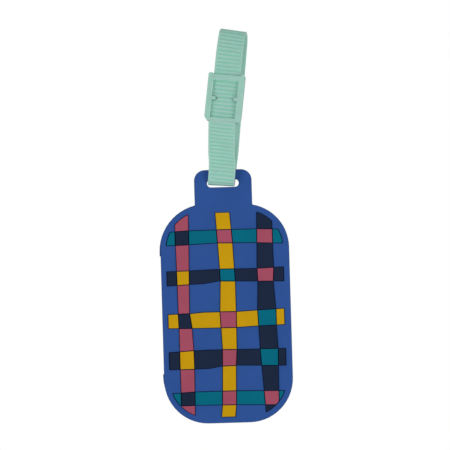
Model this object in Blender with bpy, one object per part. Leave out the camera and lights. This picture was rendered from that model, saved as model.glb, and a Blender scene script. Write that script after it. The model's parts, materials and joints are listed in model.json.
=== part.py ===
"""Luggage tag: a plaid soft-plastic tag with a card pocket, hung on a ribbed strap with a buckle.

World frame: metres, +Z up, the tag faces -Y, and the origin is the inside top of the strap's fold,
where the strap hangs on a handle. The tag turns about the bar above its slot.
"""
import math

import bmesh
import bpy
from mathutils import Matrix, Vector

MM = 0.001

# ---- front panel ----
BODY_WIDTH = 60.2 * MM
BODY_HEIGHT = 102.1 * MM
BODY_RADIUS = 20.5 * MM
NECK_WIDTH = 26.9 * MM
NECK_RISE = 16.3 * MM          # neck above the body's straight top
NECK_RADIUS = 5.0 * MM
PANEL_THICK = 2.2 * MM
SLOT_SIDE = 1.2 * MM           # slot's end to the strap's edge
SLOT_PLAY = 0.1 * MM           # slot's lower edge to the strap's lowest corner
BAR_HEIGHT = 4.6 * MM          # material above the slot

# ---- plaid inlays ----
DRAWN_WIDTH = 54.2             # size, in millimetres, that the strokes below are drawn to
DRAWN_HEIGHT = 96.1
PLAID_INSET = 3.0 * MM         # blue margin round the plaid
PLAID_SHIFT = 0.2 * MM         # the plaid's edge from the middle of its strokes, to the right
PLAID_X = -0.3 * MM            # the whole plaid from the body's middle
CHANNEL_DEPTH = 0.5 * MM
CHANNEL_MARGIN = 0.3 * MM      # channel wall to patch
CROSS_STEP = 0.05 * MM         # lying channels are this much deeper than standing ones
PATCH_GAP = 0.45 * MM          # patch to patch
PATCH_LIFT = 0.2 * MM          # patch above the channel's floor
PATCH_THICK = 0.9 * MM
SOFT_RADIUS = 0.9 * MM         # a few of the plaid's outer corners are rounded
SOFT_LOW_RIGHT = (22.0, -40.0)  # beyond this place, in drawn millimetres: the lower right crossing
SOFT_TOP_RIGHT = (17.0, 44.0)  # left of and above this place: the right stroke's top end
SOFT_ROW_END = 25.0            # further out than this: the navy lying strokes' ends
KNOT_CLEAR = 0.6 * MM          # a stroke's knot nearer than this to an end is left out

# ---- back panel, window and card ----
BACK_EXTRA_RADIUS = 1.5 * MM   # the back panel's corners are rounder than the front's
BACK_THICK = 2.2 * MM
BACK_OFFSET_X = -0.45 * MM     # the two layers are bonded slightly out of line
BACK_OFFSET_Z = 0.5 * MM
LAYER_GAP = 0.3 * MM
BEZEL_THICK = 0.8 * MM
SIGHT_INSET_X = 5.75 * MM      # card's edge to the see-through opening
SIGHT_INSET_Z = 4.3 * MM
SIGHT_RADIUS = 4.0 * MM
WINDOW_LAP = 3.0 * MM          # window sheet behind the bezel
WINDOW_THICK = 0.3 * MM
POCKET_RIM = 4.65 * MM         # panel left beside the pocket's closed end
CARD_HEIGHT = 52.6 * MM
CARD_THICK = 0.3 * MM
CARD_PLAY = 0.8 * MM           # pocket taller than the card, each side
THUMB_NOTCH = 2.6 * MM         # depth of the pocket's mouth in the left edge
MOUTH_FLARE = 0.5 * MM         # mouth taller than the pocket, each side
CARD_CORNER = 1.5 * MM

# ---- strap ----
STRAP_WIDTH = 12.5 * MM
STRAP_THICK = 1.3 * MM
LOOP_HEIGHT = 66.3 * MM        # bar centre to the inside top of the fold, along the strap
FOLD_INNER = 4.35 * MM
FOLD_TURN = 152.0              # degrees the band turns over the fold
EASE_LENGTH = 11.0 * MM        # gentle bend between the fold and the straight tail
TAIL_TILT = 8.0                # degrees between the straight tail and the back strand
TAIL_ABOVE = 8.2 * MM          # straight strap above the buckle
TAIL_SHORT = 1.0 * MM          # tail tip above the buckle's lower edge
TIP_RADIUS = 1.6 * MM
BAR_PLAY = 0.55 * MM           # bight to the corner of the bar
BIGHT_DROP = 0.87 * MM         # centre of the bight's bend below the bar's centre
SPAN_EASE = 5.0 * MM           # bend where the front span leaves the bight
BACK_SPLIT = 20.0 * MM         # height above the bar where the two runs meet
JOIN_GAP = 0.3 * MM            # between the two runs' ends
FOOT_GAP = 0.8 * MM            # front span's slanted end below the buckle, at its middle
LEAN = 6.4                     # degrees the loop leans towards +X
YAW_LOW = 2.5                  # degrees the loop turns about the vertical, at the bar
YAW_HIGH = 8.0                 # and above YAW_TO
YAW_FROM = 2.0 * MM
YAW_TO = 11.0 * MM
FOLD_ROLL = 3.5                # extra slope of the fold's ridge, degrees
BIGHT_ROLL = 1.8               # the bight lies this much nearer level than the loop, degrees
LOOP_SHIFT = 0.2 * MM          # the loop sits this far left of the slot's middle
ROLL_TO = 12.0 * MM            # height at which the front and back strands have lost that roll

# ---- buckle ----
BUCKLE_HEIGHT = 22.0 * MM
BUCKLE_WALL = 1.9 * MM
CHANNEL_SIDE = 0.35 * MM       # channel wall to strap edge
CHANNEL_FACE = 0.3 * MM        # channel face to strap face
WINDOW_LIP = 0.65 * MM         # front plate over each edge of the channel
TOP_BAR = 2.5 * MM
BOTTOM_BAR = 1.75 * MM
FRONT_THICK = 1.3 * MM
REAR_THICK = 1.05 * MM
HORN_RISE = 0.8 * MM           # side walls and rear plate above the top bar
TOP_RADIUS = 0.9 * MM
FOOT_RADIUS = 2.7 * MM
TAB_RADIUS = 0.75 * MM         # half-round end of each tab in the window
TAB_LENGTH = 1.75 * MM
TAB_RISE = 0.35 * MM           # tabs above the window's middle
NOTCH_PLAY = 0.65 * MM         # tab to the tail's notch

ARC_STEPS = 14
ARC_TURN = 12.0                # degrees of a band's bend between sections
CUT_MARGIN = 1.0 * MM          # cutters run past what they cut

# ---- colours ----
BLUE = (0.026, 0.082, 0.287)
PINK = (0.323, 0.065, 0.105)
YELLOW = (0.509, 0.292, 0.005)
TEAL = (0.0, 0.119, 0.181)
NAVY = (0.012, 0.019, 0.042)
MINT = (0.287, 0.521, 0.429)
CLEAR = (0.8, 0.85, 0.88)
PAPER = (0.86, 0.85, 0.81)

# ---- plaid strokes, drawn in millimetres from the body's centre ----
# Standing strokes: (height, left edge, right edge), top to bottom.
COLUMNS = {
    "left": [(46.5, -22.6, -16.5), (32.6, -22.5, -16.6), (14.2, -22.2, -17.0), (0.7, -22.1, -17.2),
             (-6.4, -21.9, -16.2), (-16.6, -21.9, -15.7), (-25.3, -21.9, -15.6), (-47.5, -21.8, -15.9)],
    "centre": [(47.2, -3.6, 2.8), (33.2, -2.8, 3.8), (21.1, -2.2, 4.3), (15.5, -2.0, 4.6),
               (1.1, -2.6, 4.6), (-16.4, -1.9, 4.5), (-24.0, -2.1, 3.9), (-42.3, -2.6, 3.5),
               (-48.2, -3.2, 2.9)],
    "right": [(47.0, 15.8, 22.5), (32.9, 15.6, 22.5), (21.4, 15.3, 22.7), (14.8, 15.5, 22.3),
              (1.7, 15.0, 23.2), (-5.8, 15.3, 23.2), (-16.8, 15.7, 23.7), (-24.6, 16.2, 23.6),
              (-42.8, 17.4, 23.4), (-47.5, 17.6, 23.2)],
}
# Lying strokes: (distance to the right, lower edge, upper edge), left to right.
ROWS = {
    "row1": [(-28.0, 32.6, 38.5), (-16.2, 32.9, 39.0), (-3.6, 33.4, 39.1), (15.0, 33.0, 39.1),
             (28.0, 32.4, 38.6)],
    "row2": [(-27.0, 13.8, 20.2), (-16.5, 14.3, 20.3), (-10.0, 14.5, 20.5), (-2.5, 15.6, 20.7),
             (15.0, 15.0, 20.6), (27.3, 14.7, 21.0)],
    "row3": [(-26.9, -6.0, 0.2), (-16.5, -6.2, 0.3), (-10.5, -6.3, 0.8), (5.1, -6.3, 0.7),
             (14.4, -5.9, 1.1), (27.1, -5.6, 1.6)],
    "row4": [(-27.0, -25.3, -17.6), (-15.1, -25.3, -17.0), (-8.4, -25.2, -16.9), (-2.7, -24.2, -16.9),
             (4.7, -24.0, -17.0), (27.2, -24.7, -17.1)],
    "row5": [(-28.0, -42.2, -36.9), (-15.3, -42.2, -36.3), (4.2, -42.4, -36.3), (28.0, -43.1, -36.9)],
}
COLUMN_COLOURS = {"left": "pink", "centre": "yellow", "right": "navy"}
ROW_COLOURS = {"row1": "teal", "row2": "navy", "row3": "yellow", "row4": "navy", "row5": "teal"}
CROSSING_COLOURS = {
    "left": ["navy", "yellow", "navy", "yellow", "navy"],
    "centre": ["pink", "teal", "pink", "pink", "pink"],
    "right": ["pink", "pink", "teal", "teal", "pink"],
}

# ---- derived places ----
BODY_TOP = BODY_HEIGHT / 2
NECK_TOP = BODY_TOP + NECK_RISE
BAR_Z = NECK_TOP - BAR_HEIGHT / 2            # bar centre above the body's centre
BAR_REACH = math.hypot(BAR_HEIGHT, PANEL_THICK) / 2
BIGHT_RADIUS = BAR_REACH + BAR_PLAY + STRAP_THICK / 2
BIGHT_FALL = STRAP_WIDTH / 2 * math.sin(math.radians(LEAN - BIGHT_ROLL))
BIGHT_REACH = BIGHT_DROP + BIGHT_RADIUS + STRAP_THICK / 2 + BIGHT_FALL
SLOT_WIDTH = STRAP_WIDTH + 2 * SLOT_SIDE
SLOT_HEIGHT = BIGHT_REACH + SLOT_PLAY - BAR_HEIGHT / 2
SLOT_Z = NECK_TOP - BAR_HEIGHT - SLOT_HEIGHT / 2
FOLD_RADIUS = FOLD_INNER + STRAP_THICK / 2
FOLD_HEIGHT = LOOP_HEIGHT - FOLD_INNER       # centre of the fold's bend above the bar
FOLD_FORWARD = FOLD_RADIUS - BIGHT_RADIUS    # and forward of the bar
CHANNEL_WIDTH = STRAP_WIDTH + 2 * CHANNEL_SIDE
CHANNEL_THICK = STRAP_THICK + 2 * CHANNEL_FACE
BUCKLE_WIDTH = CHANNEL_WIDTH + 2 * BUCKLE_WALL
FRONT_FACE = CHANNEL_THICK / 2 + FRONT_THICK  # of the buckle, from the tail's middle surface
REAR_FACE = -CHANNEL_THICK / 2 - REAR_THICK
PANEL_FRONT = -PANEL_THICK / 2
PANEL_BACK = PANEL_THICK / 2
BACK_FRONT = PANEL_BACK + LAYER_GAP
BACK_BACK = BACK_FRONT + BACK_THICK
BEZEL_FRONT = BACK_BACK - BEZEL_THICK
BACK_LEFT = BACK_OFFSET_X - BODY_WIDTH / 2
CARD_LEFT = BACK_LEFT + THUMB_NOTCH
CARD_WIDTH = BODY_WIDTH - THUMB_NOTCH - POCKET_RIM - CARD_PLAY
CARD_X = CARD_LEFT + CARD_WIDTH / 2
POCKET_HEIGHT = CARD_HEIGHT + 2 * CARD_PLAY
SIGHT_WIDTH = CARD_WIDTH - 2 * SIGHT_INSET_X
SIGHT_HEIGHT = CARD_HEIGHT - 2 * SIGHT_INSET_Z


def smooth(value, low, high):
    """0 below low, 1 above high, and a smooth ramp between."""
    t = min(max((value - low) / (high - low), 0.0), 1.0)
    return t * t * (3.0 - 2.0 * t)


def loop_axes(height, roll=0.0):
    """Width, forward and up directions of the strap's loop at a height above the bar."""
    yaw = math.radians(YAW_LOW + (YAW_HIGH - YAW_LOW) * smooth(height, YAW_FROM, YAW_TO))
    lean = math.radians(LEAN)
    up = Vector((math.sin(lean), 0.0, math.cos(lean)))
    forward = Vector((-math.sin(yaw) * math.cos(lean), -math.cos(yaw), math.sin(yaw) * math.sin(lean)))
    width = up.cross(forward)
    turn = Matrix.Rotation(math.radians(roll), 3, -forward)
    return turn @ width, forward, up


def loop_vector(forward, height):
    """The loop point (forward, height), from the bar's centre."""
    axes = loop_axes(height)
    return axes[1] * forward + axes[2] * height


STRETCH_X = (BODY_WIDTH - 2 * PLAID_INSET) / DRAWN_WIDTH
STRETCH_Z = (BODY_HEIGHT - 2 * PLAID_INSET) / DRAWN_HEIGHT
BAR = -loop_vector(FOLD_FORWARD, LOOP_HEIGHT)  # bar centre in the world: the fold's inside is the origin
TAG_CENTRE = BAR + Vector((LOOP_SHIFT, 0.0, -BAR_Z))


# ---- scene and materials ----

def start_scene():
    for old in list(bpy.data.objects):
        bpy.data.objects.remove(old, do_unlink=True)
    collections = []
    for name in ("luggage_tag", "cutters"):
        collection = bpy.data.collections.new(name)
        bpy.context.scene.collection.children.link(collection)
        collections.append(collection)
    return collections


def make_material(name, colour, roughness=0.55, alpha=1.0):
    material = bpy.data.materials.new(name)
    material.use_nodes = True
    shader = material.node_tree.nodes["Principled BSDF"]
    shader.inputs["Base Color"].default_value = (*colour, 1.0)
    shader.inputs["Roughness"].default_value = roughness
    shader.inputs["Metallic"].default_value = 0.0
    shader.inputs["Alpha"].default_value = alpha
    material.diffuse_color = (*colour, alpha)
    return material


def make_empty(name, place):
    empty = bpy.data.objects.new(name, None)
    empty.location = place
    PARTS.objects.link(empty)
    return empty


def finish_node(item, colour, parent, roughness=0.55, alpha=1.0):
    """Give a node its own material and hang it on its body's empty, staying where it is."""
    item.data.materials.clear()
    item.data.materials.append(make_material(item.name, colour, roughness, alpha))
    item.parent = parent
    item.matrix_parent_inverse = Matrix.Translation(-parent.location)
    return item


def cut(item, cutter):
    step = item.modifiers.new(cutter.name, "BOOLEAN")
    step.operation = "DIFFERENCE"
    step.solver = "EXACT"
    step.object = cutter


# ---- outlines ----

def arc(cx, cz, radius, start, end, steps=ARC_STEPS):
    """Points of an arc from start to end, in degrees."""
    points = []
    for i in range(steps + 1):
        angle = math.radians(start + (end - start) * i / steps)
        points.append((cx + radius * math.cos(angle), cz + radius * math.sin(angle)))
    return points


def rounded_box(width, height, radii, cx=0.0, cz=0.0, steps=ARC_STEPS):
    """Rounded rectangle; radii are for the top right, top left, lower left and lower right corners."""
    points = []
    corners = [(1, 1, 0), (-1, 1, 90), (-1, -1, 180), (1, -1, 270)]
    for (sx, sz, start), radius in zip(corners, radii):
        x = cx + sx * (width / 2 - radius)
        z = cz + sz * (height / 2 - radius)
        points += arc(x, z, radius, start, start + 90, steps)
    return points


def tag_outline():
    """Body with its neck: the neck's sides run into the body's round shoulders."""
    half = BODY_WIDTH / 2 - BODY_RADIUS
    rise = BODY_TOP - BODY_RADIUS
    reach = (NECK_WIDTH / 2 - half) / BODY_RADIUS
    meet = math.degrees(math.acos(min(max(reach, -1.0), 1.0)))
    neck_x = NECK_WIDTH / 2 - NECK_RADIUS
    neck_z = NECK_TOP - NECK_RADIUS
    points = arc(half, rise, BODY_RADIUS, 0, meet)
    points += arc(neck_x, neck_z, NECK_RADIUS, 0, 90, 8)
    points += arc(-neck_x, neck_z, NECK_RADIUS, 90, 180, 8)
    points += arc(-half, rise, BODY_RADIUS, 180 - meet, 180)
    points += arc(-half, -rise, BODY_RADIUS, 180, 270)
    points += arc(half, -rise, BODY_RADIUS, 270, 360)
    return points


def slot_outline():
    radius = SLOT_HEIGHT / 2
    x = SLOT_WIDTH / 2 - radius
    return arc(x, SLOT_Z, radius, -90, 90, 8) + arc(-x, SLOT_Z, radius, 90, 270, 8)


def plaid_outline(margin=0.0):
    """Convex edge of the plaid: the body's outline drawn in by the blue margin."""
    inset = PLAID_INSET - margin
    radii = [BODY_RADIUS - inset] * 4
    return rounded_box(BODY_WIDTH - 2 * inset, BODY_HEIGHT - 2 * inset, radii, PLAID_SHIFT)


def plate(name, loops, low, high, collection, matrix=None):
    """A flat outline, with any holes, between two depths along local +Y, as a closed mesh."""
    curve = bpy.data.curves.new(name, "CURVE")
    curve.dimensions = "2D"
    curve.fill_mode = "BOTH"
    curve.extrude = (high - low) / 2
    for loop in loops:
        points = without_repeats(loop)
        spline = curve.splines.new("POLY")
        spline.points.add(len(points) - 1)
        for point, (x, z) in zip(spline.points, points):
            point.co = (x, z, 0.0, 1.0)
        spline.use_cyclic_u = True
    raw = bpy.data.objects.new(name + "_outline", curve)
    collection.objects.link(raw)
    raw.matrix_world = Matrix.Translation((0, (low + high) / 2, 0)) @ Matrix.Rotation(math.pi / 2, 4, "X")
    bpy.context.view_layer.update()
    seen = raw.evaluated_get(bpy.context.evaluated_depsgraph_get())
    mesh = bpy.data.meshes.new_from_object(seen)
    mesh.name = name
    mesh.transform(raw.matrix_world)
    bpy.data.objects.remove(raw, do_unlink=True)
    return solid(name, mesh, collection, matrix)


def without_repeats(loop):
    points = []
    for point in loop:
        if not points or math.dist(point, points[-1]) > 0.02 * MM:
            points.append(point)
    if math.dist(points[0], points[-1]) < 0.02 * MM:
        points.pop()
    return points


def solid(name, mesh, collection, matrix=None):
    """Weld a mesh, turn its faces outwards and put it in the scene."""
    work = bmesh.new()
    work.from_mesh(mesh)
    bmesh.ops.remove_doubles(work, verts=work.verts, dist=0.001 * MM)
    bmesh.ops.recalc_face_normals(work, faces=work.faces)
    if work.calc_volume(signed=True) < 0:
        bmesh.ops.reverse_faces(work, faces=work.faces)
    work.to_mesh(mesh)
    work.free()
    item = bpy.data.objects.new(name, mesh)
    collection.objects.link(item)
    if matrix is not None:
        item.matrix_world = matrix
    return item


def cutter_plate(name, loops, low, high, matrix=None):
    cutter = plate(name, loops, low, high, CUTTERS, matrix)
    cutter.hide_render = True
    cutter.display_type = "WIRE"
    return cutter


def in_tag(item, shift=0.0):
    """Place something drawn about the body's centre, or about a point beside it."""
    item.matrix_world = Matrix.Translation(TAG_CENTRE + Vector((shift, 0.0, 0.0)))
    return item


# ---- plaid geometry ----

def sized(strokes, along, across):
    """Strokes stretched from the size they are drawn to, in metres."""
    return {name: [(knot[0] * along, knot[1] * across, knot[2] * across) for knot in stroke]
            for name, stroke in strokes.items()}


def edge_at(stroke, side, where):
    """Place of a stroke's edge at a height (standing) or distance (lying)."""
    knots = sorted((knot[0], knot[side]) for knot in stroke)
    if where <= knots[0][0]:
        return knots[0][1]
    for (low, first), (high, second) in zip(knots, knots[1:]):
        if where <= high:
            return first + (second - first) * (where - low) / (high - low)
    return knots[-1][1]


def stops(stroke, low, high):
    """A stroke's knots that lie between two ends, with the ends."""
    inner = sorted(knot[0] for knot in stroke if low + KNOT_CLEAR < knot[0] < high - KNOT_CLEAR)
    return [low] + inner + [high]


def corner(column, side_x, row, side_z, shift_x=0.0, shift_z=0.0):
    """Where a standing stroke's edge meets a lying stroke's edge, each moved by its shift."""
    z = 0.0
    for _ in range(12):
        x = edge_at(column, side_x, z) + shift_x
        z = edge_at(row, side_z, x) + shift_z
    return x, z


def column_side(column, side, start, end, shift=0.0):
    """Points strictly between two corners along a standing stroke's edge."""
    low, high = sorted((start[1], end[1]))
    heights = stops(column, low, high)[1:-1]
    if start[1] > end[1]:
        heights.reverse()
    return [(edge_at(column, side, z) + shift, z) for z in heights]


def row_side(row, side, start, end, shift=0.0):
    """Points strictly between two corners along a lying stroke's edge."""
    low, high = sorted((start[0], end[0]))
    places = stops(row, low, high)[1:-1]
    if start[0] > end[0]:
        places.reverse()
    return [(x, edge_at(row, side, x) + shift) for x in places]


def crossing_cell(column, row):
    a = corner(column, 1, row, 1)
    b = corner(column, 2, row, 1)
    c = corner(column, 2, row, 2)
    d = corner(column, 1, row, 2)
    return [a, *row_side(row, 1, a, b), b, *column_side(column, 2, b, c), c,
            *row_side(row, 2, c, d), d, *column_side(column, 1, d, a)]


def column_cell(column, below, above):
    """Stretch of a standing stroke between two lying strokes, or out to its end where one is None."""
    if below:
        a = corner(column, 1, below, 2, 0.0, PATCH_GAP)
        b = corner(column, 2, below, 2, 0.0, PATCH_GAP)
    else:
        z = min(knot[0] for knot in column)
        a, b = (edge_at(column, 1, z), z), (edge_at(column, 2, z), z)
    if above:
        c = corner(column, 2, above, 1, 0.0, -PATCH_GAP)
        d = corner(column, 1, above, 1, 0.0, -PATCH_GAP)
    else:
        z = max(knot[0] for knot in column)
        c, d = (edge_at(column, 2, z), z), (edge_at(column, 1, z), z)
    return [a, b, *column_side(column, 2, b, c), c, d, *column_side(column, 1, d, a)]


def row_cell(row, before, after):
    """Stretch of a lying stroke between two standing strokes, or out to its end where one is None."""
    if before:
        a = corner(before, 2, row, 1, PATCH_GAP)
        d = corner(before, 2, row, 2, PATCH_GAP)
    else:
        x = min(knot[0] for knot in row)
        a, d = (x, edge_at(row, 1, x)), (x, edge_at(row, 2, x))
    if after:
        b = corner(after, 1, row, 1, -PATCH_GAP)
        c = corner(after, 1, row, 2, -PATCH_GAP)
    else:
        x = max(knot[0] for knot in row)
        b, c = (x, edge_at(row, 1, x)), (x, edge_at(row, 2, x))
    return [a, *row_side(row, 1, a, b), b, c, *row_side(row, 2, c, d), d]


def clipped(points, outline):
    """The part of a polygon inside a convex outline that runs anticlockwise."""
    for start, end in zip(outline, outline[1:] + outline[:1]):
        edge = (end[0] - start[0], end[1] - start[1])
        if math.hypot(*edge) < 1e-9:
            continue
        kept = []
        for p, q in zip(points, points[1:] + points[:1]):
            side_p = edge[0] * (p[1] - start[1]) - edge[1] * (p[0] - start[0])
            side_q = edge[0] * (q[1] - start[1]) - edge[1] * (q[0] - start[0])
            if side_p >= 0:
                kept.append(p)
            if (side_p >= 0) != (side_q >= 0):
                t = side_p / (side_p - side_q)
                kept.append((p[0] + (q[0] - p[0]) * t, p[1] + (q[1] - p[1]) * t))
        points = kept
    return without_repeats(points)


def eased(points, radius, picked):
    """Round the corners of a polygon for which picked(x, z) is true."""
    result = []
    count = len(points)
    for i, point in enumerate(points):
        before = Vector(points[i - 1]) - Vector(point)
        after = Vector(points[(i + 1) % count]) - Vector(point)
        if not picked(*point) or abs(before.angle(after) - math.pi) < 0.3:
            result.append(point)
            continue
        reach = min(radius, 0.45 * before.length, 0.45 * after.length)
        start = Vector(point) + before.normalized() * reach
        end = Vector(point) + after.normalized() * reach
        for k in range(5):
            t = k / 4
            bend = start * (1 - t) ** 2 + Vector(point) * 2 * t * (1 - t) + end * t ** 2
            result.append(tuple(bend))
    return result


def stroke_cell(stroke, standing, margin):
    """A whole stroke's outline, widened by a margin, for its channel."""
    ends = [knot[0] for knot in stroke]
    low, high = min(ends) - margin, max(ends) + margin
    places = stops(stroke, low, high)
    near = [(edge_at(stroke, 1, at) - margin, at) for at in places]
    far = [(edge_at(stroke, 2, at) + margin, at) for at in reversed(places)]
    if standing:
        return list(reversed(near + far))
    return [(at, across) for across, at in near + far]


def anticlockwise(points):
    area = sum(p[0] * q[1] - q[0] * p[1] for p, q in zip(points, points[1:] + points[:1]))
    return points if area > 0 else list(reversed(points))


# ---- strap geometry ----

def walk(start, heading, legs):
    """Follow straight legs and arcs, each (length, turn in degrees), from a loop point.

    Returns (forward, height, heading) at each step. A heading of 0 is up and 90 is forward.
    """
    forward, height = start
    path = [(forward, height, heading)]
    for length, turn in legs:
        steps = max(5, math.ceil(abs(turn) / ARC_TURN)) if turn else 4
        for _ in range(steps):
            heading += turn / steps / 2
            step = length / steps
            if turn:
                bend = math.radians(turn / steps / 2)
                step *= math.sin(bend) / bend
            forward += step * math.sin(math.radians(heading))
            height += step * math.cos(math.radians(heading))
            heading += turn / steps / 2
            path.append((forward, height, heading))
    return path


def band_roll(height):
    """Turn of the band's width about the loop's forward direction, in degrees."""
    at_fold = FOLD_ROLL * smooth(height, FOLD_HEIGHT - EASE_LENGTH, LOOP_HEIGHT)
    return at_fold - BIGHT_ROLL * (1.0 - smooth(height, 0.0, ROLL_TO))


def band(name, path, half_width):
    """A flat band lofted along a walk; half_width(i) is its half width at point i."""
    verts = []
    for i, (forward, height, heading) in enumerate(path):
        width, front, up = loop_axes(height, band_roll(height))
        middle = BAR + loop_vector(forward, height)
        run = front * math.sin(math.radians(heading)) + up * math.cos(math.radians(heading))
        out = run.cross(width).normalized() * (STRAP_THICK / 2)
        side = width * half_width(i)
        verts += [middle - side + out, middle + side + out, middle + side - out, middle - side - out]
    faces = [(0, 1, 2, 3)]
    for i in range(len(path) - 1):
        for k in range(4):
            j = (k + 1) % 4
            faces.append((4 * i + k, 4 * i + 4 + k, 4 * i + 4 + j, 4 * i + j))
    last = 4 * (len(path) - 1)
    faces.append((last + 3, last + 2, last + 1, last))
    mesh = bpy.data.meshes.new(name)
    mesh.from_pydata(verts, [], faces)
    return solid(name, mesh, PARTS)


def upper_path():
    """From the split on the back strand, over the fold and down to the tail's tip."""
    tail = TAIL_ABOVE + BUCKLE_HEIGHT - TAIL_SHORT
    slant = math.radians(FOLD_TURN)
    legs = [(FOLD_HEIGHT - BACK_SPLIT, 0.0), (FOLD_RADIUS * slant, FOLD_TURN),
            (EASE_LENGTH, 180.0 - TAIL_TILT - FOLD_TURN), (tail - TIP_RADIUS, 0.0)]
    path = walk((FOLD_FORWARD - FOLD_RADIUS, BACK_SPLIT), 0.0, legs)
    forward, height, heading = path[-1]
    for i in range(1, 5):
        ahead = TIP_RADIUS * math.sin(math.radians(90 * i / 4))
        run = math.radians(heading)
        path.append((forward + ahead * math.sin(run), height + ahead * math.cos(run), heading))
    return path


def tail_place(distance):
    """Loop point on the straight tail, at a distance above its tip."""
    forward, height, heading = upper_path()[-1]
    run = math.radians(heading)
    return forward - distance * math.sin(run), height - distance * math.cos(run)


def buckle_matrix():
    """Buckle frame: X across, Y into the buckle, Z up the tail, at the middle of its height."""
    centre = tail_place(BUCKLE_HEIGHT / 2 - TAIL_SHORT)
    width, front, up = loop_axes(centre[1])
    tilt = math.radians(TAIL_TILT)
    tail_up = (up * math.cos(tilt) - front * math.sin(tilt)).normalized()
    depth = tail_up.cross(width).normalized()
    frame = Matrix((width, depth, tail_up)).transposed().to_4x4()
    frame.translation = BAR + loop_vector(*centre)
    return frame


def span_slant(start, target):
    """Heading of the straight front span that leaves the bight by a bend and ends at the target."""
    slant = 20.0
    for _ in range(40):
        half = math.radians(slant) / 2
        chord = SPAN_EASE * math.sin(half) / half
        forward = start[0] + chord * math.sin(half)
        height = start[1] + chord * math.cos(half)
        slant = math.degrees(math.atan2(target[0] - forward, target[1] - height))
    return slant, math.hypot(target[0] - forward, target[1] - height)


def lower_path():
    """From the split, down the back strand, round the bar and up to the buckle's foot."""
    depth = (CHANNEL_THICK + FRONT_THICK) / 2
    foot = tail_place(-TAIL_SHORT - FOOT_GAP)
    tilt = math.radians(TAIL_TILT)
    target = (foot[0] + depth * math.cos(tilt), foot[1] + depth * math.sin(tilt))
    start = (BIGHT_RADIUS, -BIGHT_DROP)
    slant, length = span_slant(start, target)
    legs = [(BACK_SPLIT - JOIN_GAP + BIGHT_DROP, 0.0), (math.pi * BIGHT_RADIUS, -180.0),
            (SPAN_EASE, slant), (length, 0.0)]
    return walk((-BIGHT_RADIUS, BACK_SPLIT - JOIN_GAP), 180.0, legs)


# ---- nodes ----

def make_front_panel(parent):
    panel = in_tag(plate("front_panel", [tag_outline(), slot_outline()], PANEL_FRONT, PANEL_BACK, PARTS))
    for name, stroke in STANDING.items():
        cut_channel(panel, name, stroke, True, 0.0)
    for name, stroke in LYING.items():
        cut_channel(panel, name, stroke, False, CROSS_STEP)
    return finish_node(panel, BLUE, parent)


def cut_channel(panel, name, stroke, standing, step):
    margin = CHANNEL_MARGIN + step
    outline = clipped(anticlockwise(stroke_cell(stroke, standing, margin)), plaid_outline(margin))
    cutter = cutter_plate("channel_" + name, [outline], PANEL_FRONT - CUT_MARGIN - step,
                          PANEL_FRONT + CHANNEL_DEPTH + step)
    cut(panel, in_tag(cutter, PLAID_X))


def make_patch(name, colour, points, parent, radius=0.0, picked=None):
    points = clipped(anticlockwise(points), plaid_outline())
    if radius:
        points = eased(points, radius, picked)
    low = PANEL_FRONT + CHANNEL_DEPTH - PATCH_LIFT
    patch = in_tag(plate(name, [points], low - PATCH_THICK, low, PARTS), PLAID_X)
    colours = {"pink": PINK, "yellow": YELLOW, "teal": TEAL, "navy": NAVY}
    return finish_node(patch, colours[colour], parent, 0.6)


def make_patches(parent):
    """Fifteen crossings, eighteen stretches of standing stroke and twenty of lying stroke."""
    rows = list(LYING)
    for name, column in STANDING.items():
        for i, row in enumerate(rows):
            cell = crossing_cell(column, LYING[row])
            low_right = name == "right" and row == "row5"
            make_patch(f"crossing_{name}_{row}", CROSSING_COLOURS[name][i], cell, parent,
                       SOFT_RADIUS if low_right else 0.0,
                       lambda x, z: x > SOFT_LOW_RIGHT[0] * STRETCH_X and z < SOFT_LOW_RIGHT[1] * STRETCH_Z)
        for i in range(len(rows) + 1):
            above = LYING[rows[i - 1]] if i else None
            below = LYING[rows[i]] if i < len(rows) else None
            top_right = name == "right" and not i
            make_patch(f"{COLUMN_COLOURS[name]}_{name}_{i + 1}", COLUMN_COLOURS[name],
                       column_cell(column, below, above), parent,
                       SOFT_RADIUS if top_right else 0.0,
                       lambda x, z: x < SOFT_TOP_RIGHT[0] * STRETCH_X and z > SOFT_TOP_RIGHT[1] * STRETCH_Z)
    order = list(STANDING.values())
    for name, row in LYING.items():
        for i in range(len(order) + 1):
            before = order[i - 1] if i else None
            after = order[i] if i < len(order) else None
            at_end = ROW_COLOURS[name] == "navy" and i in (0, len(order))
            make_patch(f"{ROW_COLOURS[name]}_{name}_{i + 1}", ROW_COLOURS[name],
                       row_cell(row, before, after), parent,
                       SOFT_RADIUS if at_end else 0.0, lambda x, z: abs(x) > SOFT_ROW_END * STRETCH_X)


def make_back_panel(parent):
    radii = [BODY_RADIUS + BACK_EXTRA_RADIUS] * 4
    outline = rounded_box(BODY_WIDTH, BODY_HEIGHT, radii, BACK_OFFSET_X, BACK_OFFSET_Z)
    sight = rounded_box(SIGHT_WIDTH, SIGHT_HEIGHT, [SIGHT_RADIUS] * 4, CARD_X, steps=6)
    panel = in_tag(plate("back_panel", [outline, sight], BACK_FRONT, BACK_BACK, PARTS))
    right = CARD_LEFT + CARD_WIDTH + CARD_PLAY
    left = BACK_LEFT - CUT_MARGIN
    pocket = rounded_box(right - left, POCKET_HEIGHT, [CARD_CORNER] * 4, (left + right) / 2, steps=4)
    cut(panel, in_tag(cutter_plate("pocket", [pocket], BACK_FRONT - CUT_MARGIN, BEZEL_FRONT)))
    mouth = rounded_box(2 * (THUMB_NOTCH + CUT_MARGIN), POCKET_HEIGHT + 2 * MOUTH_FLARE,
                        [CARD_CORNER] * 4, left, steps=4)
    cut(panel, in_tag(cutter_plate("mouth", [mouth], BACK_FRONT - CUT_MARGIN, BACK_BACK + CUT_MARGIN)))
    return finish_node(panel, BLUE, parent)


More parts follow.
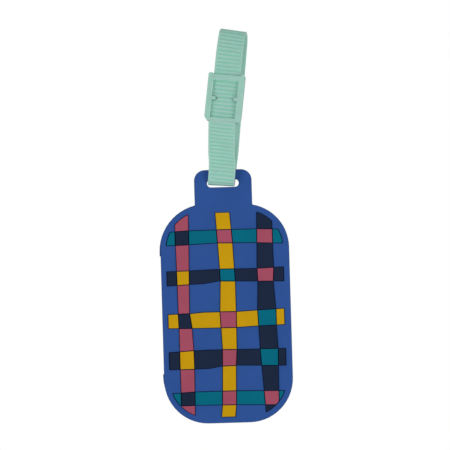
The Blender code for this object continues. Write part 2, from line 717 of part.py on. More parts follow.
def make_window(parent):
    outline = rounded_box(SIGHT_WIDTH + 2 * WINDOW_LAP, SIGHT_HEIGHT + 2 * WINDOW_LAP,
                          [SIGHT_RADIUS] * 4, CARD_X, steps=6)
    back = BEZEL_FRONT - LAYER_GAP / 2
    window = in_tag(plate("window_sheet", [outline], back - WINDOW_THICK, back, PARTS))
    return finish_node(window, CLEAR, parent, 0.12, 0.3)


def make_card(parent):
    outline = rounded_box(CARD_WIDTH, CARD_HEIGHT, [CARD_CORNER] * 4, CARD_X, steps=4)
    back = BEZEL_FRONT - LAYER_GAP - WINDOW_THICK - LAYER_GAP / 2
    card = in_tag(plate("address_card", [outline], back - CARD_THICK, back, PARTS))
    return finish_node(card, PAPER, parent, 0.8)


def make_upper_run(parent):
    path = upper_path()
    tip = len(path) - 4
    squeeze = [TIP_RADIUS * (1 - math.cos(math.radians(90 * (i + 1) / 4))) for i in range(4)]

    def half_width(i):
        return STRAP_WIDTH / 2 - (squeeze[i - tip] if i >= tip else 0.0)

    strap = band("strap_upper_run", path, half_width)
    for side in (-1, 1):
        cut(strap, cutter_plate(f"notch_{side + 2}", [notch_outline(side)], -STRAP_THICK, STRAP_THICK,
                                buckle_matrix()))
    return finish_node(strap, MINT, parent)


def make_lower_run(parent):
    strap = band("strap_lower_run", lower_path(), lambda i: STRAP_WIDTH / 2)
    return finish_node(strap, MINT, parent)


def tab_place():
    """Centre of the right tab's half-round end, in the buckle's frame."""
    middle = (BOTTOM_BAR - TOP_BAR) / 2
    return CHANNEL_WIDTH / 2 - WINDOW_LIP - TAB_LENGTH + TAB_RADIUS, middle + TAB_RISE


def notch_outline(side):
    """The tail's notch round a tab, open past the tail's edge."""
    x, z = tab_place()
    radius = TAB_RADIUS + NOTCH_PLAY
    past = STRAP_WIDTH / 2 + CUT_MARGIN
    points = arc(x, z, radius, 270, 90, 10) + [(past, z + radius), (past, z - radius)]
    return points if side > 0 else [(-x, z) for x, z in reversed(points)]


def window_outline():
    """The buckle's window, with a tab standing into it from each side."""
    half = CHANNEL_WIDTH / 2 - WINDOW_LIP
    top = BUCKLE_HEIGHT / 2 - TOP_BAR
    bottom = -BUCKLE_HEIGHT / 2 + BOTTOM_BAR
    x, z = tab_place()
    right = [(half, bottom), (half, z - TAB_RADIUS)] + arc(x, z, TAB_RADIUS, 270, 90, 10)
    right += [(half, z + TAB_RADIUS), (half, top)]
    return right + [(-x, z) for x, z in reversed(right)]


def make_buckle(parent):
    frame = buckle_matrix()
    high = BUCKLE_HEIGHT / 2 + HORN_RISE
    low = -BUCKLE_HEIGHT / 2
    outline = rounded_box(BUCKLE_WIDTH, high - low, [TOP_RADIUS, TOP_RADIUS, FOOT_RADIUS, FOOT_RADIUS],
                          0.0, (high + low) / 2, 6)
    buckle = plate("buckle", [outline], -FRONT_FACE, -REAR_FACE, PARTS, frame)
    half = CHANNEL_WIDTH / 2
    tall = BUCKLE_HEIGHT / 2 + HORN_RISE + CUT_MARGIN
    channel = [(-half, -tall), (half, -tall), (half, tall), (-half, tall)]
    cut(buckle, cutter_plate("channel", [channel], -CHANNEL_THICK / 2, CHANNEL_THICK / 2, frame))
    cut(buckle, cutter_plate("sight", [window_outline()], -FRONT_FACE - CUT_MARGIN, 0.0, frame))
    top = BUCKLE_HEIGHT / 2
    dip = [(-half, top), (half, top), (half, tall), (-half, tall)]
    cut(buckle, cutter_plate("dip", [dip], -FRONT_FACE - CUT_MARGIN, 0.0, frame))
    return finish_node(buckle, MINT, parent)


STANDING = sized(COLUMNS, STRETCH_Z, STRETCH_X)
LYING = sized(ROWS, STRETCH_X, STRETCH_Z)
PARTS, CUTTERS = start_scene()
strap_frame = make_empty("strap_frame", Vector((0.0, 0.0, 0.0)))
bight_frame = make_empty("bight_frame", BAR)
buckle_frame = make_empty("buckle_frame", buckle_matrix().translation)
tag_frame = make_empty("tag_frame", BAR)
card_frame = make_empty("card_frame", TAG_CENTRE)
make_upper_run(strap_frame)
make_lower_run(bight_frame)
make_buckle(buckle_frame)
make_front_panel(tag_frame)
make_back_panel(tag_frame)
make_window(tag_frame)
make_card(card_frame)
make_patches(tag_frame)
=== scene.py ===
"""Looks of the luggage tag: ribbed soft-plastic strap with its buckle, plaid tag, card pocket.

World frame: metres, +Z up, the tag faces -Y, origin at the inside top of the strap's fold.
"""
import json
import math

import bmesh
import bpy
from mathutils import Matrix, Vector


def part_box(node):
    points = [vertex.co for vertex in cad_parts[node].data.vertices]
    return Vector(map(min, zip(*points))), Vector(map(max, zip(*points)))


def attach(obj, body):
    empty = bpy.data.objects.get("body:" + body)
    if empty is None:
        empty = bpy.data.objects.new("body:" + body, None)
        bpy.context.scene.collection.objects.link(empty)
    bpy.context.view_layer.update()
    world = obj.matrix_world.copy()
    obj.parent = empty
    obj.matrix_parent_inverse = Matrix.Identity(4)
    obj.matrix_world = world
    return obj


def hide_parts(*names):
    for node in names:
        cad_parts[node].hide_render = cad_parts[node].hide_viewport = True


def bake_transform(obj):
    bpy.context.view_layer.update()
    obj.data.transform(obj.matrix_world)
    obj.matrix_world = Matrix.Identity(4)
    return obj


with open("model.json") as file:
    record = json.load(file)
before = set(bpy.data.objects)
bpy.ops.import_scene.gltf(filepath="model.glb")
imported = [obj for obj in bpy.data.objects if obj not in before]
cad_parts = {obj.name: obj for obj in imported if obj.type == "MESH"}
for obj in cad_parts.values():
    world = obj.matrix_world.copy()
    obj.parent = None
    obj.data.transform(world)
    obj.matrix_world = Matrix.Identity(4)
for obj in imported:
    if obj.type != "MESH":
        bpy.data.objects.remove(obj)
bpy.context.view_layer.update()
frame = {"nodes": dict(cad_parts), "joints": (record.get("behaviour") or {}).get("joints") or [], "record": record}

MM = 0.001
JOINTS = {joint["name"]: joint for joint in frame["joints"]}

# ---- strap, as in the CAD band ----
STRAP_WIDTH = 12.5 * MM
STRAP_THICK = 1.3 * MM
LOOP_HEIGHT = 66.3 * MM        # bar centre to the inside top of the fold
FOLD_RADIUS = 5.0 * MM
FOLD_TURN = 152.0              # degrees
EASE_LENGTH = 11.0 * MM        # gentle bend between the fold and the straight tail
TAIL_TILT = 8.0                # degrees between the tail and the back strand
TAIL_ABOVE = 8.2 * MM          # straight strap above the buckle
TAIL_SHORT = 1.0 * MM          # tail tip above the buckle's lower edge
TIP_RADIUS = 1.6 * MM
BIGHT_RADIUS = 3.75 * MM
BIGHT_DROP = 0.87 * MM         # centre of the bight's bend below the bar's centre
SPAN_EASE = 5.0 * MM           # bend where the front span leaves the bight
FOOT_EASE = 3.0 * MM           # bend of the span into the buckle's foot
FOOT_LAP = 0.8 * MM            # the span's end above the buckle's lower edge
YAW_LOW = 2.5                  # degrees the loop turns about the vertical, at the bar
YAW_HIGH = 8.0                 # and above YAW_TO
YAW_FROM = 2.0 * MM
YAW_TO = 11.0 * MM
FOLD_ROLL = 3.5                # extra slope of the fold's ridge, degrees
BIGHT_ROLL = 1.8               # the bight lies this much nearer level than the loop
ROLL_TO = 12.0 * MM            # height at which that roll is lost
FOLD_HEIGHT = LOOP_HEIGHT + STRAP_THICK / 2 - FOLD_RADIUS
SPAN_STEPS = 60                # rounds of aiming the front span at the buckle
SPAN_SHARE = 0.6               # share of the miss taken up in each
SPAN_SLANT = 24.0              # degrees, to start from
SPAN_LENGTH = 18.0 * MM
SEAM_PAST = 1.0 * MM           # the tail and fold run this far down the back strand
SHARP = 60.0                   # degrees: sharper edges of the band are shaded as edges

# ---- stretches of the strap near the ends of the back strand and the front span ----
BACK_FROM = 2.0 * MM           # below the back strand's top
BACK_TO = 6.0 * MM             # above its foot
SPAN_FROM = 2.0 * MM           # past the bight's bend
SPAN_TO = 1.0 * MM             # short of the span's end

# ---- ribs ----
RIB_PITCH = 1.84 * MM
RIB_DEPTH = 0.17 * MM
RIB_EDGE = 0.07                # half the width of a rib's flank, as a share of the pitch
RIB_PHASES = (0.0, 0.1, 0.25, 0.40, 0.45, 0.50, 0.55, 0.60, 0.72, 0.85, 0.90, 0.95)
RIB_LIFT = 0.27 * MM           # the ribs stand this much prouder in the buckle
RIB_SKEW = 2.0                 # degrees that the front ribs slope more than the strap's width
LOW_SKEW = 1.6                 # and this much more near the bar
RIM_WIDTH = 0.75 * MM          # plain edge beside the ribs
EDGE_RADIUS = 0.5 * MM
END_CLEAR = 0.05 * MM          # no section nearer than this to a band's end

# ---- buckle ----
BUCKLE_HEIGHT = 22.0 * MM
CHANNEL_THICK = 1.9 * MM
CHANNEL_HALF = 6.6 * MM        # half the width of the channel through the buckle
CHANNEL_SLACK = 0.1 * MM       # edges further out than this past the channel are outer edges
FRONT_THICK = 1.3 * MM
OUTER_FOOT = -10.5 * MM        # below this, only the outer edges of the foot
OUTER_ROUND = 0.6 * MM
INNER_ROUND = 0.12 * MM
NOTCH_RADIUS = 1.4 * MM
NOTCH_FLOOR = -0.50 * MM       # the notch stops this far in front of the tail's middle surface
NOTCH_STEPS = 24
TAB_X = 4.95 * MM              # centre of the right tab's round end, in the buckle's frame
TAB_Z = -0.025 * MM

# ---- tag ----
PANEL_ROUND = 0.45 * MM        # rims of the tag's layers
CHANNEL_ROUND = 0.15 * MM      # edges of the plaid's channels
PATCH_ROUND = 0.14 * MM
THROUGH_SHARE = 0.9            # faces deeper than this share of a layer run right through it
CHANNEL_TOP = 0.1 * MM         # the plaid's channels lie between these depths
CHANNEL_FLOOR = 0.7 * MM
CARD_LINES = 7.0
LINE_SHARE = 0.035             # of the space between two lines

# ---- mesh work ----
WELD = 0.002 * MM
SLIVER = 0.01 * MM             # mesh edges shorter than this are closed up
FLAT_ANGLE = 1.0               # degrees
OUTER_ANGLE = 0.6              # radians: sharper edges than this may be rounded
ROUND_ANGLE = 35.0             # degrees, for the small rounding

# ---- materials ----
GRAIN = 0.35                   # strength of the skin's bump
GRAIN_DEPTH = 0.02 * MM
SHEEN = 0.05                   # specular level
GLOW_RADIUS = (0.8, 2.2, 1.5)
GLOW_SCALE = 1.0 * MM

# ---- light and camera ----
ROOM_LIGHT = 0.40              # the room's light on the object; the camera sees it white
FLOOR_RADIUS = 0.42
FLOOR_Z = -0.26
LIGHT_TARGET = (0.0, 0.0, -0.09)
CAMERA_DISTANCE = 1.752
CAMERA_ROLL = 1.67             # degrees
CAMERA_LENS = 300.0
NECK_ABOVE = 67.2 * MM         # top of the neck above the camera's mark on the body
CAMERA_RIGHT = 0.44 * MM       # camera from that mark
CAMERA_ABOVE = 41.3 * MM

# ---- colours, linear ----
BLUE = (0.0290, 0.0890, 0.3170)
BLUE_PAINTED_SHADE = (0.0080, 0.0220, 0.0750)  # painted shade in the plaid's channels
PINK = (0.3750, 0.0760, 0.1240)
YELLOW = (0.5750, 0.3210, 0.0032)
TEAL = (0.0002, 0.1390, 0.2120)
NAVY = (0.0112, 0.0208, 0.0505)
MINT = (0.3880, 0.6330, 0.5560)
MINT_PAINTED_SHADE = (0.2880, 0.6200, 0.5000)  # painted shade in the ribs' grooves
WALL_PAINTED_GLOW = (0.4600, 0.9000, 0.6900)  # painted glow on the walls of the buckle's window, lifting their shade
PAPER_LOW = (0.80, 0.79, 0.75)
PAPER_HIGH = (0.87, 0.86, 0.82)
RULE = (0.25, 0.32, 0.42)
SHEET = (0.96, 0.98, 0.98)
FLOOR = (0.95, 0.95, 0.95)

BAR = Vector(JOINTS["tag_swing"]["pos_m"])
UP = -Vector(JOINTS["loop_slide"]["axis"])
LEAN = math.atan2(UP.x, UP.z)


def smooth(value, low, high):
    """0 below low, 1 above high, and a smooth ramp between."""
    t = min(max((value - low) / (high - low), 0.0), 1.0)
    return t * t * (3.0 - 2.0 * t)


def loop_axes(height, roll=0.0):
    """Width, forward and up directions of the strap's loop at a height above the bar."""
    yaw = math.radians(YAW_LOW + (YAW_HIGH - YAW_LOW) * smooth(height, YAW_FROM, YAW_TO))
    forward = Vector((-math.sin(yaw) * math.cos(LEAN), -math.cos(yaw), math.sin(yaw) * math.sin(LEAN)))
    width = UP.cross(forward)
    turn = Matrix.Rotation(math.radians(roll), 3, -forward)
    return turn @ width, forward, UP


def loop_point(forward, height):
    axes = loop_axes(height)
    return BAR + axes[1] * forward + axes[2] * height


def band_roll(height):
    """Turn of the band's width about the loop's forward direction, in degrees."""
    at_fold = FOLD_ROLL * smooth(height, FOLD_HEIGHT - EASE_LENGTH, LOOP_HEIGHT)
    return at_fold - BIGHT_ROLL * (1.0 - smooth(height, 0.0, ROLL_TO))


# ---- materials ----

def add(tree, kind, **inputs):
    node = tree.nodes.new(kind)
    for name, value in inputs.items():
        node.inputs[name.replace("_", " ")].default_value = value
    return node


def blank_material(name):
    material = bpy.data.materials.new(name)
    material.use_nodes = True
    tree = material.node_tree
    return material, tree, tree.nodes["Principled BSDF"]


def noise(tree, coords, scale, detail):
    texture = add(tree, "ShaderNodeTexNoise", Scale=scale, Detail=detail, Roughness=0.5)
    tree.links.new(coords, texture.inputs["Vector"])
    return texture.outputs["Fac"]


def remap(tree, value, low, high):
    """A 0 to 1 value, mostly between 0.3 and 0.7, stretched to low..high."""
    node = add(tree, "ShaderNodeMapRange")
    node.inputs["From Min"].default_value = 0.3
    node.inputs["From Max"].default_value = 0.7
    node.inputs["To Min"].default_value = low
    node.inputs["To Max"].default_value = high
    tree.links.new(value, node.inputs["Value"])
    return node.outputs["Result"]


def mixed(tree, factor, first, second):
    node = tree.nodes.new("ShaderNodeMix")
    node.data_type = "RGBA"
    node.inputs[6].default_value = (*first, 1.0)
    node.inputs[7].default_value = (*second, 1.0)
    tree.links.new(factor, node.inputs["Factor"])
    return node.outputs[2]


def laid_over(tree, factor, under, colour):
    """A plain colour over another node's colour."""
    node = tree.nodes.new("ShaderNodeMix")
    node.data_type = "RGBA"
    node.inputs[7].default_value = (*colour, 1.0)
    tree.links.new(under, node.inputs[6])
    tree.links.new(factor, node.inputs["Factor"])
    return node.outputs[2]


def soft_plastic(name, colour, roughness, mottle, painted_light=None, glow=0.0):
    """Moulded soft plastic: faint mottling, satin patches and a fine skin; a painted light colour is laid over
    where the groove attribute is set: painted shade in grooves and channels, a painted glow on the buckle's window
    walls.
    """
    material, tree, shader = blank_material(name)
    coords = add(tree, "ShaderNodeTexCoord").outputs["Object"]
    cloud = remap(tree, noise(tree, coords, 90.0, 4.0), 0.0, 1.0)
    low = tuple(c * (1.0 - mottle) for c in colour)
    high = tuple(min(1.0, c * (1.0 + mottle)) for c in colour)
    surface = mixed(tree, cloud, low, high)
    if painted_light:
        # painted light: the given colour is laid over the faces the groove attribute marks, as painted shade or as
        # painted glow
        groove = tree.nodes.new("ShaderNodeAttribute")
        groove.attribute_name = "groove"
        surface = laid_over(tree, groove.outputs["Fac"], surface, painted_light)
    tree.links.new(surface, shader.inputs["Base Color"])
    satin = remap(tree, noise(tree, coords, 260.0, 3.0), roughness - 0.05, roughness + 0.06)
    tree.links.new(satin, shader.inputs["Roughness"])
    skin = noise(tree, coords, 5200.0, 2.0)
    waves = noise(tree, coords, 700.0, 2.0)
    total = add(tree, "ShaderNodeMath")
    total.operation = "ADD"
    tree.links.new(skin, total.inputs[0])
    tree.links.new(waves, total.inputs[1])
    bump = add(tree, "ShaderNodeBump", Strength=GRAIN, Distance=GRAIN_DEPTH)
    tree.links.new(total.outputs[0], bump.inputs["Height"])
    tree.links.new(bump.outputs["Normal"], shader.inputs["Normal"])
    shader.inputs["Specular IOR Level"].default_value = SHEEN
    if glow:
        shader.inputs["Subsurface Weight"].default_value = glow
        shader.inputs["Subsurface Radius"].default_value = GLOW_RADIUS
        shader.inputs["Subsurface Scale"].default_value = GLOW_SCALE
    return material


def clear_sheet():
    material, tree, shader = blank_material("clear_sheet")
    coords = add(tree, "ShaderNodeTexCoord").outputs["Object"]
    haze = remap(tree, noise(tree, coords, 400.0, 3.0), 0.05, 0.12)
    tree.links.new(haze, shader.inputs["Roughness"])
    shader.inputs["Base Color"].default_value = (*SHEET, 1.0)
    shader.inputs["IOR"].default_value = 1.45
    shader.inputs["Transmission Weight"].default_value = 1.0
    return material


def card_paper(low, high):
    """Pale card with ruled lines to write on."""
    material, tree, shader = blank_material("card_paper")
    coords = add(tree, "ShaderNodeTexCoord").outputs["Object"]
    fibres = remap(tree, noise(tree, coords, 3000.0, 4.0), 0.0, 1.0)
    paper = mixed(tree, fibres, PAPER_LOW, PAPER_HIGH)
    parts = add(tree, "ShaderNodeSeparateXYZ")
    tree.links.new(coords, parts.inputs[0])
    height = add(tree, "ShaderNodeMapRange")
    height.clamp = False
    height.inputs["From Min"].default_value = low.z
    height.inputs["From Max"].default_value = high.z
    height.inputs["To Max"].default_value = CARD_LINES
    tree.links.new(parts.outputs["Z"], height.inputs["Value"])
    fraction = add(tree, "ShaderNodeMath")
    fraction.operation = "FRACT"
    tree.links.new(height.outputs[0], fraction.inputs[0])
    line = add(tree, "ShaderNodeMath")
    line.operation = "LESS_THAN"
    line.inputs[1].default_value = LINE_SHARE
    tree.links.new(fraction.outputs[0], line.inputs[0])
    ruled = laid_over(tree, line.outputs[0], paper, RULE)
    tree.links.new(ruled, shader.inputs["Base Color"])
    shader.inputs["Roughness"].default_value = 0.85
    return material


def dress(item, material):
    item.data.materials.clear()
    item.data.materials.append(material)


def round_edges(item, width):
    step = item.modifiers.new("rounded_edges", "BEVEL")
    step.width = width
    step.segments = 2
    step.limit_method = "ANGLE"
    step.angle_limit = math.radians(ROUND_ANGLE)
    step.harden_normals = False
    item.data.shade_smooth()
    item.data.set_sharp_from_angle(angle=math.radians(ROUND_ANGLE))


# ---- strap ----

class Path:
    """The strap's middle line: straight legs and arcs, each (length, turn in degrees)."""

    def __init__(self, start, heading, legs):
        self.legs = []
        forward, height = start
        at = 0.0
        for length, turn in legs:
            self.legs.append((at, length, turn, forward, height, heading))
            forward, height, heading = self.advance(forward, height, heading, length, turn, length)
            at += length
        self.length = at

    @staticmethod
    def advance(forward, height, heading, length, turn, part):
        swept = turn * part / length
        middle = math.radians(heading + swept / 2)
        half = math.radians(swept / 2)
        chord = part * (math.sin(half) / half if abs(half) > 1e-9 else 1.0)
        return forward + chord * math.sin(middle), height + chord * math.cos(middle), heading + swept

    def at(self, distance):
        for start, length, turn, forward, height, heading in reversed(self.legs):
            if distance >= start or start == 0.0:
                return self.advance(forward, height, heading, length, turn, distance - start)


def rib_depth(phase):
    """Groove depth, 0 on a rib's crest and 1 in the groove, for a phase of 0 to 1."""
    return smooth(phase, 0.5 - RIB_EDGE, 0.5 + RIB_EDGE) - smooth(phase, 1.0 - 2 * RIB_EDGE, 1.0)


def band_stations(start, end):
    """Distances at which the ribbed band has a section, with the groove's depth there."""
    stations = [(start, rib_depth((start / RIB_PITCH) % 1.0))]
    for rib in range(math.floor(start / RIB_PITCH), math.ceil(end / RIB_PITCH) + 1):
        for phase in RIB_PHASES:
            distance = (rib + phase) * RIB_PITCH
            if start + END_CLEAR < distance < end - END_CLEAR:
                stations.append((distance, rib_depth(phase)))
    stations.append((end, rib_depth((end / RIB_PITCH) % 1.0)))
    return stations


def band_section(depth, squeeze, lift):
    """Closed cross-section of the band as (across, out) points, ribbed on its outer side."""
    half = STRAP_WIDTH / 2
    top = STRAP_THICK / 2 + lift
    low = top - RIB_DEPTH * depth
    inner = half - RIM_WIDTH
    corner = [(half - EDGE_RADIUS + EDGE_RADIUS * math.sin(turn), EDGE_RADIUS * (1.0 - math.cos(turn)))
              for turn in (math.radians(30 * i) for i in range(4))]
    right = [(across, -STRAP_THICK / 2 + rise) for across, rise in corner]
    right += [(across, top - rise) for across, rise in reversed(corner)]
    right += [(inner + 0.12 * MM, top), (inner + 0.02 * MM, top - 0.3 * (top - low)),
              (inner - 0.08 * MM, low), (inner - 0.25 * MM, low), (half / 3, low)]
    left = [(-across, out) for across, out in reversed(right)]
    share = (half - squeeze) / half
    return [(across * share, out) for across, out in right + left]


def ribbed_band(name, path, start, end, skew=None, squeeze=None, lift=None):
    """A band along a path, with its ribs across the outer side.

    skew, squeeze and lift are functions of the distance along it: the ribs' extra slope in
    degrees, how far each edge draws in, and how far the ribbed side stands proud.
    """
    mesh = bmesh.new()
    groove = mesh.verts.layers.float.new("groove")
    rings = []
    for distance, depth in band_stations(start, end):
        ring = []
        pinch = squeeze(distance) if squeeze else 0.0
        proud = lift(distance) if lift else 0.0
        slope = math.tan(math.radians(skew(distance))) if skew else 0.0
        for across, out in band_section(depth, pinch, proud):
            forward, height, heading = path.at(distance - across * slope)
            width, front, up = loop_axes(height, band_roll(height))
            run = front * math.sin(math.radians(heading)) + up * math.cos(math.radians(heading))
            outward = width.cross(run).normalized()
            point = mesh.verts.new(loop_point(forward, height) + width * across + outward * out)
            # the groove depth on the ribbed side also sets how much painted shade the ribs' grooves take
            on_ribs = abs(across) < STRAP_WIDTH / 2 - RIM_WIDTH and out > 0.0
            point[groove] = depth if on_ribs else 0.0
            ring.append(point)
        rings.append(ring)
    count = len(rings[0])
    for first, second in zip(rings, rings[1:]):
        for i in range(count):
            j = (i + 1) % count
            mesh.faces.new((first[i], first[j], second[j], second[i]))
    mesh.faces.new(list(reversed(rings[0])))
    mesh.faces.new(rings[-1])
    bmesh.ops.recalc_face_normals(mesh, faces=mesh.faces)
    data = bpy.data.meshes.new(name)
    mesh.to_mesh(data)
    mesh.free()
    item = bpy.data.objects.new(name, data)
    bpy.context.scene.collection.objects.link(item)
    data.shade_smooth()
    data.set_sharp_from_angle(angle=math.radians(SHARP))
    return item


def upper_legs():
    """From the tail's tip up, over the fold and down the back strand to the bight's bend."""
    tail = TAIL_ABOVE + BUCKLE_HEIGHT - TAIL_SHORT
    return [(tail, 0.0), (EASE_LENGTH, 180.0 - TAIL_TILT - FOLD_TURN),
            (FOLD_RADIUS * math.radians(FOLD_TURN), FOLD_TURN), (FOLD_HEIGHT + BIGHT_DROP, 0.0)]


def tail_tip():
    """Loop point of the tail's tip, walked back from the fold."""
    back = Path((-BIGHT_RADIUS, FOLD_HEIGHT), 0.0,
                [(length, turn) for length, turn in reversed(upper_legs()[:3])])
    return back.at(back.length)


def upper_path():
    forward, height, heading = tail_tip()
    return Path((forward, height), heading - 180.0, [(length, -turn) for length, turn in upper_legs()])


def foot_target():
    """Loop point of the front span's end, inside the middle of the buckle's front plate."""
    forward, height, heading = tail_tip()
    tilt = math.radians(TAIL_TILT)
    depth = (CHANNEL_THICK + FRONT_THICK) / 2
    drop = TAIL_SHORT - FOOT_LAP
    return (forward + depth * math.cos(tilt) + drop * math.sin(tilt),
            height + depth * math.sin(tilt) - drop * math.cos(tilt))


def lower_path():
    """From the back strand's foot, round the bar and up the front span into the buckle."""
    target = foot_target()
    slant, length = SPAN_SLANT, SPAN_LENGTH
    for _ in range(SPAN_STEPS):
        legs = [(math.pi * BIGHT_RADIUS, -180.0), (SPAN_EASE, slant), (length, 0.0),
                (FOOT_EASE, -slant - TAIL_TILT)]
        path = Path((-BIGHT_RADIUS, -BIGHT_DROP), 180.0, legs)
        forward, height, heading = path.at(path.length)
        slant += math.degrees(math.atan2(target[0] - forward, length)) * SPAN_SHARE
        length += (target[1] - height) * SPAN_SHARE
    return path


def buckle_matrix():
    """Buckle frame: X across, Y into the buckle, Z up the tail, at the middle of its height."""
    forward, height, heading = tail_tip()
    tilt = math.radians(TAIL_TILT)
    rise = BUCKLE_HEIGHT / 2 - TAIL_SHORT
    centre = (forward - rise * math.sin(tilt), height + rise * math.cos(tilt))
    width, front, up = loop_axes(centre[1])
    tail_up = (up * math.cos(tilt) - front * math.sin(tilt)).normalized()
    depth = tail_up.cross(width).normalized()
    matrix = Matrix((width, depth, tail_up)).transposed().to_4x4()
    matrix.translation = loop_point(*centre)
    return matrix


def slot_cutter(side):
    """A round-ended slot's solid, open past the tail's edge, in the buckle's frame."""
    mesh = bmesh.new()
    ring = [(TAB_X + NOTCH_RADIUS * math.cos(turn), TAB_Z + NOTCH_RADIUS * math.sin(turn))
            for turn in (math.radians(90 + 180 * i / NOTCH_STEPS) for i in range(NOTCH_STEPS + 1))]
    ring += [(STRAP_WIDTH, TAB_Z - NOTCH_RADIUS), (STRAP_WIDTH, TAB_Z + NOTCH_RADIUS)]
    near = [mesh.verts.new((side * x, -2 * STRAP_THICK, z)) for x, z in ring]
    far = [mesh.verts.new((side * x, NOTCH_FLOOR, z)) for x, z in ring]
    mesh.faces.new(near)
    mesh.faces.new(far)
    for i in range(len(ring)):
        j = (i + 1) % len(ring)
        mesh.faces.new((near[i], near[j], far[j], far[i]))
    bmesh.ops.recalc_face_normals(mesh, faces=mesh.faces)
    data = bpy.data.meshes.new("slot_cutter")
    mesh.to_mesh(data)
    mesh.free()
    cutter = bpy.data.objects.new("slot_cutter", data)
    cutter.matrix_world = buckle_matrix()
    bpy.context.scene.collection.objects.link(cutter)
    return cutter


def tidy_mesh(data):
    """Take out slivers that a cut or a rounding leaves behind."""
    mesh = bmesh.new()
    mesh.from_mesh(data)
    bmesh.ops.remove_doubles(mesh, verts=mesh.verts, dist=SLIVER)
    bmesh.ops.dissolve_degenerate(mesh, dist=SLIVER, edges=mesh.edges)
    mesh.to_mesh(data)
    mesh.free()


def cut_notches(item):
    """Round-ended notches in the tail's edges, where the buckle's tabs sit."""
    for side in (-1, 1):
        cutter = slot_cutter(side)
        step = item.modifiers.new("notch", "BOOLEAN")
        step.operation = "DIFFERENCE"
        step.object = cutter
        bpy.context.view_layer.update()
        seen = item.evaluated_get(bpy.context.evaluated_depsgraph_get())
        item.data = bpy.data.meshes.new_from_object(seen)
        tidy_mesh(item.data)
        item.modifiers.clear()
        bpy.data.objects.remove(cutter, do_unlink=True)


def rounded_copy(node, material, body, width, is_outer, inner_width, is_inner=None):
    """A piece that stands for a CAD node, with its outer edges well rounded.

    Faces for which is_inner(face) is true take the material's painted light colour: painted shade or a painted
    glow.
    """
    source = frame["nodes"][node]
    mesh = bmesh.new()
    mesh.from_mesh(source.data)
    mesh.transform(source.matrix_world)
    bmesh.ops.remove_doubles(mesh, verts=mesh.verts, dist=WELD)
    bmesh.ops.dissolve_limit(mesh, angle_limit=math.radians(FLAT_ANGLE), verts=mesh.verts, edges=mesh.edges)
    outer = [edge for edge in mesh.edges if len(edge.link_faces) == 2
             and edge.calc_face_angle() > OUTER_ANGLE and is_outer(edge)]
    bmesh.ops.bevel(mesh, geom=outer, offset=width, segments=4, affect="EDGES", profile=0.5,
                    clamp_overlap=True)
    mesh.normal_update()
    # the groove attribute marks the faces that take painted shade or a painted glow
    groove = mesh.faces.layers.float.new("groove")
    for face in mesh.faces:
        face[groove] = 1.0 if is_inner and is_inner(face) else 0.0
    data = bpy.data.meshes.new(node + "_rounded")
    mesh.to_mesh(data)
    mesh.free()
    tidy_mesh(data)
    item = bpy.data.objects.new(node + "_rounded", data)
    bpy.context.scene.collection.objects.link(item)
    dress(item, material)
    round_edges(item, inner_width)
    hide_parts(node)
    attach(item, body)


def make_buckle(material):
    inward = buckle_matrix().inverted()

    def outside(edge):
        spots = [inward @ vert.co for vert in edge.verts]
        return all(abs(spot.x) > CHANNEL_HALF + CHANNEL_SLACK or spot.z < OUTER_FOOT for spot in spots)

    # the window's walls take a painted glow, lifting the shade in the window
    def window_wall(face):
        spot = inward @ face.calc_center_median()
        across = inward.to_3x3() @ face.normal
        in_window = abs(spot.x) < CHANNEL_HALF and abs(spot.z) < -OUTER_FOOT
        return in_window and abs(across.y) < 0.5 and spot.y < 0.0

    rounded_copy("buckle", material, "buckle", OUTER_ROUND, outside, INNER_ROUND,
                 window_wall)


def make_panels(material):
    """Both layers of the tag; their rims and the slot are rounded, the channels just eased."""
    for node in ("front_panel", "back_panel"):
        low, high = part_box(node)
        full = THROUGH_SHARE * (high.y - low.y)

        def through(edge):
            return any(max(v.co.y for v in face.verts) - min(v.co.y for v in face.verts) > full
                       for face in edge.link_faces)

        # the faces in the plaid's channels take painted shade
        def in_channel(face):
            depth = face.calc_center_median().y - low.y
            return CHANNEL_TOP < depth < CHANNEL_FLOOR

        rounded_copy(node, material, "tag", PANEL_ROUND, through, CHANNEL_ROUND,
                     in_channel if node == "front_panel" else None)


def make_strap(material):
    upper = upper_path()
    straight = upper_legs()[0][0]
    over = sum(length for length, turn in upper_legs()[:3])
    seam = over + SEAM_PAST
    foot = upper.length

    def tip_squeeze(distance):
        short = max(TIP_RADIUS - distance, 0.0) / TIP_RADIUS
        return TIP_RADIUS * (1.0 - math.sqrt(max(1.0 - short * short, 0.0)))

    def tail_lift(distance):
        return RIB_LIFT * (1.0 - smooth(distance, straight, over))

    def tail_skew(distance):
        return RIB_SKEW * (1.0 - smooth(distance, straight, over))

    tail = ribbed_band("strap_tail_and_fold", upper, 0.0, seam, tail_skew, tip_squeeze, tail_lift)
    cut_notches(tail)
    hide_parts("strap_upper_run")
    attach(tail, "strap")
    back = ribbed_band("strap_back_strand", upper, seam, foot)
    top = upper.at(seam + BACK_FROM)
    bottom = upper.at(foot - BACK_TO)
    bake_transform(back)
    lower = lower_path()

    def span_skew(distance):
        low = 1.0 - smooth(lower.at(distance)[1], 0.0, ROLL_TO)
        return (RIB_SKEW + LOW_SKEW * low) * smooth(distance, 0.0, math.pi * BIGHT_RADIUS)

    span = ribbed_band("strap_bight_and_front_span", lower, 0.0, lower.length, span_skew)
    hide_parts("strap_lower_run")
    low = lower.at(math.pi * BIGHT_RADIUS + SPAN_FROM)
    high = lower.at(lower.length - SPAN_TO)
    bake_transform(span)
    for item in (tail, back, span):
        dress(item, material)


# ---- room ----

def area_light(name, place, size, power):
    data = bpy.data.lights.new(name, "AREA")
    data.shape = "DISK"
    data.size = size
    data.energy = power
    light = bpy.data.objects.new(name, data)
    light.location = place
    light.rotation_euler = (Vector(LIGHT_TARGET) - Vector(place)).to_track_quat("-Z", "Y").to_euler()
    bpy.context.scene.collection.objects.link(light)


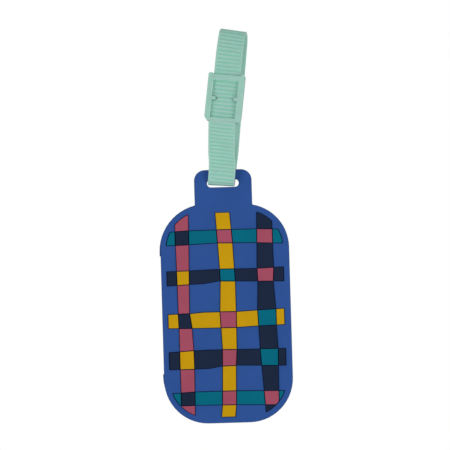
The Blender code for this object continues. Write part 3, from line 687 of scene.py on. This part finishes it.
def make_room():
    scene = bpy.context.scene
    scene.view_settings.view_transform = "Standard"
    world = bpy.data.worlds.new("studio")
    world.use_nodes = True
    tree = world.node_tree
    backdrop = tree.nodes["Background"]
    backdrop.inputs["Color"].default_value = (1.0, 1.0, 1.0, 1.0)
    rays = tree.nodes.new("ShaderNodeLightPath")
    level = add(tree, "ShaderNodeMapRange")
    level.inputs["To Min"].default_value = ROOM_LIGHT
    level.inputs["To Max"].default_value = 1.0
    tree.links.new(rays.outputs["Is Camera Ray"], level.inputs["Value"])
    tree.links.new(level.outputs["Result"], backdrop.inputs["Strength"])
    scene.world = world
    bpy.ops.mesh.primitive_circle_add(vertices=96, radius=FLOOR_RADIUS, fill_type="NGON",
                                      location=(0.0, 0.0, FLOOR_Z))
    floor = bpy.context.object
    floor.name = "floor"
    material, tree, shader = blank_material("floor_paint")
    shader.inputs["Base Color"].default_value = (*FLOOR, 1.0)
    shader.inputs["Roughness"].default_value = 0.9
    dress(floor, material)
    area_light("key", (0.80, -0.85, -0.22), 0.6, 5.0)
    area_light("fill", (-0.85, -0.85, 0.10), 0.6, 4.6)
    area_light("rim", (0.0, 0.90, 0.50), 0.8, 3.5)


def make_camera():
    """Square on to the tag, far off with a long lens, rolled so that the tag's top leans left."""
    roll = math.radians(CAMERA_ROLL)
    data = bpy.data.cameras.new("camera")
    data.lens = CAMERA_LENS
    data.sensor_width = 36.0
    camera = bpy.data.objects.new("camera", data)
    right = Vector((math.cos(roll), 0.0, -math.sin(roll)))
    up = Vector((math.sin(roll), 0.0, math.cos(roll)))
    matrix = Matrix((right, up, Vector((0.0, -1.0, 0.0)))).transposed().to_4x4()
    low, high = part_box("front_panel")
    mark = Vector(((low.x + high.x) / 2, low.y, high.z - NECK_ABOVE))
    matrix.translation = mark + Vector((CAMERA_RIGHT, -CAMERA_DISTANCE, CAMERA_ABOVE))
    camera.matrix_world = matrix
    bpy.context.scene.collection.objects.link(camera)
    bpy.context.scene.camera = camera


# ---- CAD nodes that stay ----

def dress_tag():
    """Materials for the patches, the window and the card; the two layers become rounded copies."""
    nodes = frame["nodes"]
    colours = {"pink": PINK, "yellow": YELLOW, "teal": TEAL, "navy": NAVY}
    inks = {name: soft_plastic(name + "_plastic", colour, 0.5, 0.05) for name, colour in colours.items()}
    slots = {entry["node"]: entry["material_slot"] for entry in frame["record"]["subparts"]}
    # the plaid's channels take a darker blue as painted shade
    blue = soft_plastic("blue_plastic", BLUE, 0.5, 0.04, BLUE_PAINTED_SHADE)
    for name, item in nodes.items():
        ink = slots[name].replace("_soft_plastic", "")
        if ink in inks:
            dress(item, inks[ink])
            round_edges(item, PATCH_ROUND)
    make_panels(blue)
    dress(nodes["window_sheet"], clear_sheet())
    dress(nodes["address_card"], card_paper(*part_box("address_card")))


make_room()
make_camera()
dress_tag()
# the strap's rib grooves take painted shade
make_strap(soft_plastic("mint_plastic", MINT, 0.5, 0.03, MINT_PAINTED_SHADE, 0.4))
# the buckle's window walls take a painted glow
make_buckle(soft_plastic("mint_frame_plastic", MINT, 0.45, 0.03, WALL_PAINTED_GLOW, 0.5))
